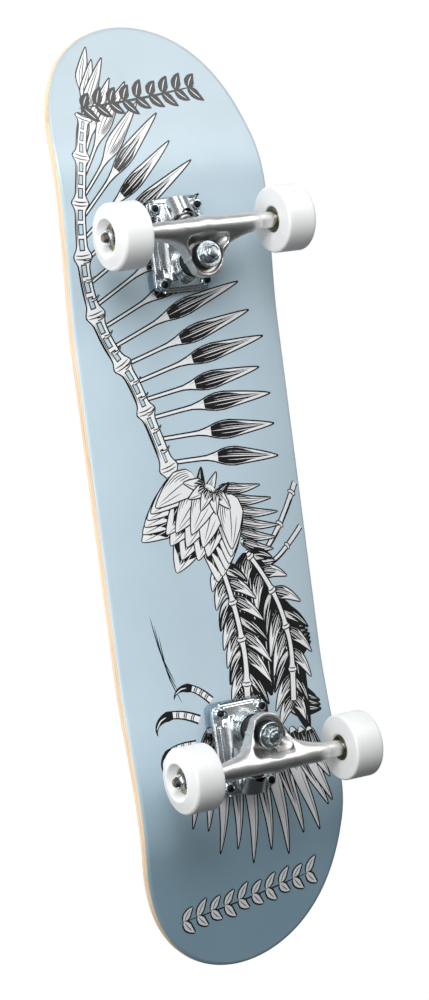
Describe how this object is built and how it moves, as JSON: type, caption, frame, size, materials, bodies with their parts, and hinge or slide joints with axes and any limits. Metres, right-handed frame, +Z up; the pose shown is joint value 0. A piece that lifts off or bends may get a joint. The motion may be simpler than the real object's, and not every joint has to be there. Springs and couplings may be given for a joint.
{
  "type": "skateboard",
  "caption": "Street skateboard: concave kicked laminate deck on steering trucks sprung by bushings, with clear riser pads and white urethane wheels on ball bearings.",
  "frame": {"origin": "centre of the base of the bounding box, on the ground between the four wheels", "axes": "+X towards the nose, +Y towards the rider's left when facing the nose, +Z up; the wheels stand on z = 0"},
  "size_m": [0.806, 0.203, 0.1392],
  "materials": {
    "deck_wood": "sealed maple edge, painted pale blue underside",
    "grip_sheet": "coarse abrasive sheet",
    "clear_plastic": "clear flexible plastic",
    "polished_alloy": "polished",
    "satin_alloy": "satin cast",
    "zinc_steel": "bright zinc plate",
    "dark_steel": "ground",
    "black_steel": "black oxide",
    "black_urethane": "satin cast urethane",
    "white_urethane": "smooth cast urethane",
    "yellow_zinc": "yellow passivated zinc"
  },
  "bodies": {
    "board": {"deck": "deck_wood", "grip_tape": "grip_sheet", "front_riser_pad": "clear_plastic", "rear_riser_pad": "clear_plastic", "front_baseplate": "polished_alloy", "rear_baseplate": "polished_alloy", "front_mounting_bolts": "black_steel", "rear_mounting_bolts": "black_steel", "front_mounting_nuts": "zinc_steel", "rear_mounting_nuts": "zinc_steel", "front_kingpin": "zinc_steel", "rear_kingpin": "zinc_steel", "front_kingpin_nut": "zinc_steel", "rear_kingpin_nut": "zinc_steel", "front_lower_washer": "zinc_steel", "rear_lower_washer": "zinc_steel", "front_upper_washer": "zinc_steel", "rear_upper_washer": "zinc_steel", "front_lower_bushing": "black_urethane", "rear_lower_bushing": "black_urethane", "front_upper_bushing": "black_urethane", "rear_upper_bushing": "black_urethane", "front_pivot_cup": "black_urethane", "rear_pivot_cup": "black_urethane"},
    "front_truck": {"front_hanger": "satin_alloy", "front_axle": "dark_steel", "front_axle_nuts": "zinc_steel", "front_speed_washers": "zinc_steel", "front_bearing_spacers": "dark_steel", "front_inner_rings": "dark_steel"},
    "rear_truck": {"rear_hanger": "satin_alloy", "rear_axle": "dark_steel", "rear_axle_nuts": "zinc_steel", "rear_speed_washers": "zinc_steel", "rear_bearing_spacers": "dark_steel", "rear_inner_rings": "dark_steel"},
    "front_left_roller": {"front_left_wheel": "white_urethane", "front_left_outer_rings": "yellow_zinc", "front_left_shields": "yellow_zinc"},
    "front_left_ball_set": {"front_left_balls": "dark_steel", "front_left_ball_cages": "yellow_zinc"},
    "front_right_roller": {"front_right_wheel": "white_urethane", "front_right_outer_rings": "yellow_zinc", "front_right_shields": "yellow_zinc"},
    "front_right_ball_set": {"front_right_balls": "dark_steel", "front_right_ball_cages": "yellow_zinc"},
    "rear_left_roller": {"rear_left_wheel": "white_urethane", "rear_left_outer_rings": "yellow_zinc", "rear_left_shields": "yellow_zinc"},
    "rear_left_ball_set": {"rear_left_balls": "dark_steel", "rear_left_ball_cages": "yellow_zinc"},
    "rear_right_roller": {"rear_right_wheel": "white_urethane", "rear_right_outer_rings": "yellow_zinc", "rear_right_shields": "yellow_zinc"},
    "rear_right_ball_set": {"rear_right_balls": "dark_steel", "rear_right_ball_cages": "yellow_zinc"}
  },
  "joints": [
    {"name": "front_truck_steer", "type": "hinge", "parent": "board", "child": "front_truck", "pos_m": [0.2387, 0, 0.0636], "axis": [0.8579, 0, 0.5139], "range_deg": [-12, 12], "stiffness_Nm_per_rad": 30, "deforming": ["front_lower_bushing", "front_upper_bushing"]},
    {"name": "rear_truck_steer", "type": "hinge", "parent": "board", "child": "rear_truck", "pos_m": [-0.2387, 0, 0.0636], "axis": [-0.8579, 0, 0.5139], "range_deg": [-12, 12], "stiffness_Nm_per_rad": 30, "deforming": ["rear_lower_bushing", "rear_upper_bushing"]},
    {"name": "front_left_wheel_spin", "type": "hinge", "parent": "front_truck", "child": "front_left_roller", "pos_m": [0.2233, 0.0787, 0.028], "axis": [0, 1, 0], "continuous": true},
    {"name": "front_left_ball_spin", "type": "hinge", "parent": "front_truck", "child": "front_left_ball_set", "pos_m": [0.2233, 0.0787, 0.028], "axis": [0, 1, 0], "continuous": true},
    {"name": "front_right_wheel_spin", "type": "hinge", "parent": "front_truck", "child": "front_right_roller", "pos_m": [0.2233, -0.0787, 0.028], "axis": [0, 1, 0], "continuous": true},
    {"name": "front_right_ball_spin", "type": "hinge", "parent": "front_truck", "child": "front_right_ball_set", "pos_m": [0.2233, -0.0787, 0.028], "axis": [0, 1, 0], "continuous": true},
    {"name": "rear_left_wheel_spin", "type": "hinge", "parent": "rear_truck", "child": "rear_left_roller", "pos_m": [-0.2233, 0.0787, 0.028], "axis": [0, 1, 0], "continuous": true},
    {"name": "rear_left_ball_spin", "type": "hinge", "parent": "rear_truck", "child": "rear_left_ball_set", "pos_m": [-0.2233, 0.0787, 0.028], "axis": [0, 1, 0], "continuous": true},
    {"name": "rear_right_wheel_spin", "type": "hinge", "parent": "rear_truck", "child": "rear_right_roller", "pos_m": [-0.2233, -0.0787, 0.028], "axis": [0, 1, 0], "continuous": true},
    {"name": "rear_right_ball_spin", "type": "hinge", "parent": "rear_truck", "child": "rear_right_ball_set", "pos_m": [-0.2233, -0.0787, 0.028], "axis": [0, 1, 0], "continuous": true}
  ],
  "couplings": [
    {"joint": "front_left_ball_spin", "follows": "front_left_wheel_spin", "ratio": 0.63},
    {"joint": "front_right_ball_spin", "follows": "front_right_wheel_spin", "ratio": 0.63},
    {"joint": "rear_left_ball_spin", "follows": "rear_left_wheel_spin", "ratio": 0.63},
    {"joint": "rear_right_ball_spin", "follows": "rear_right_wheel_spin", "ratio": 0.63}
  ]
}
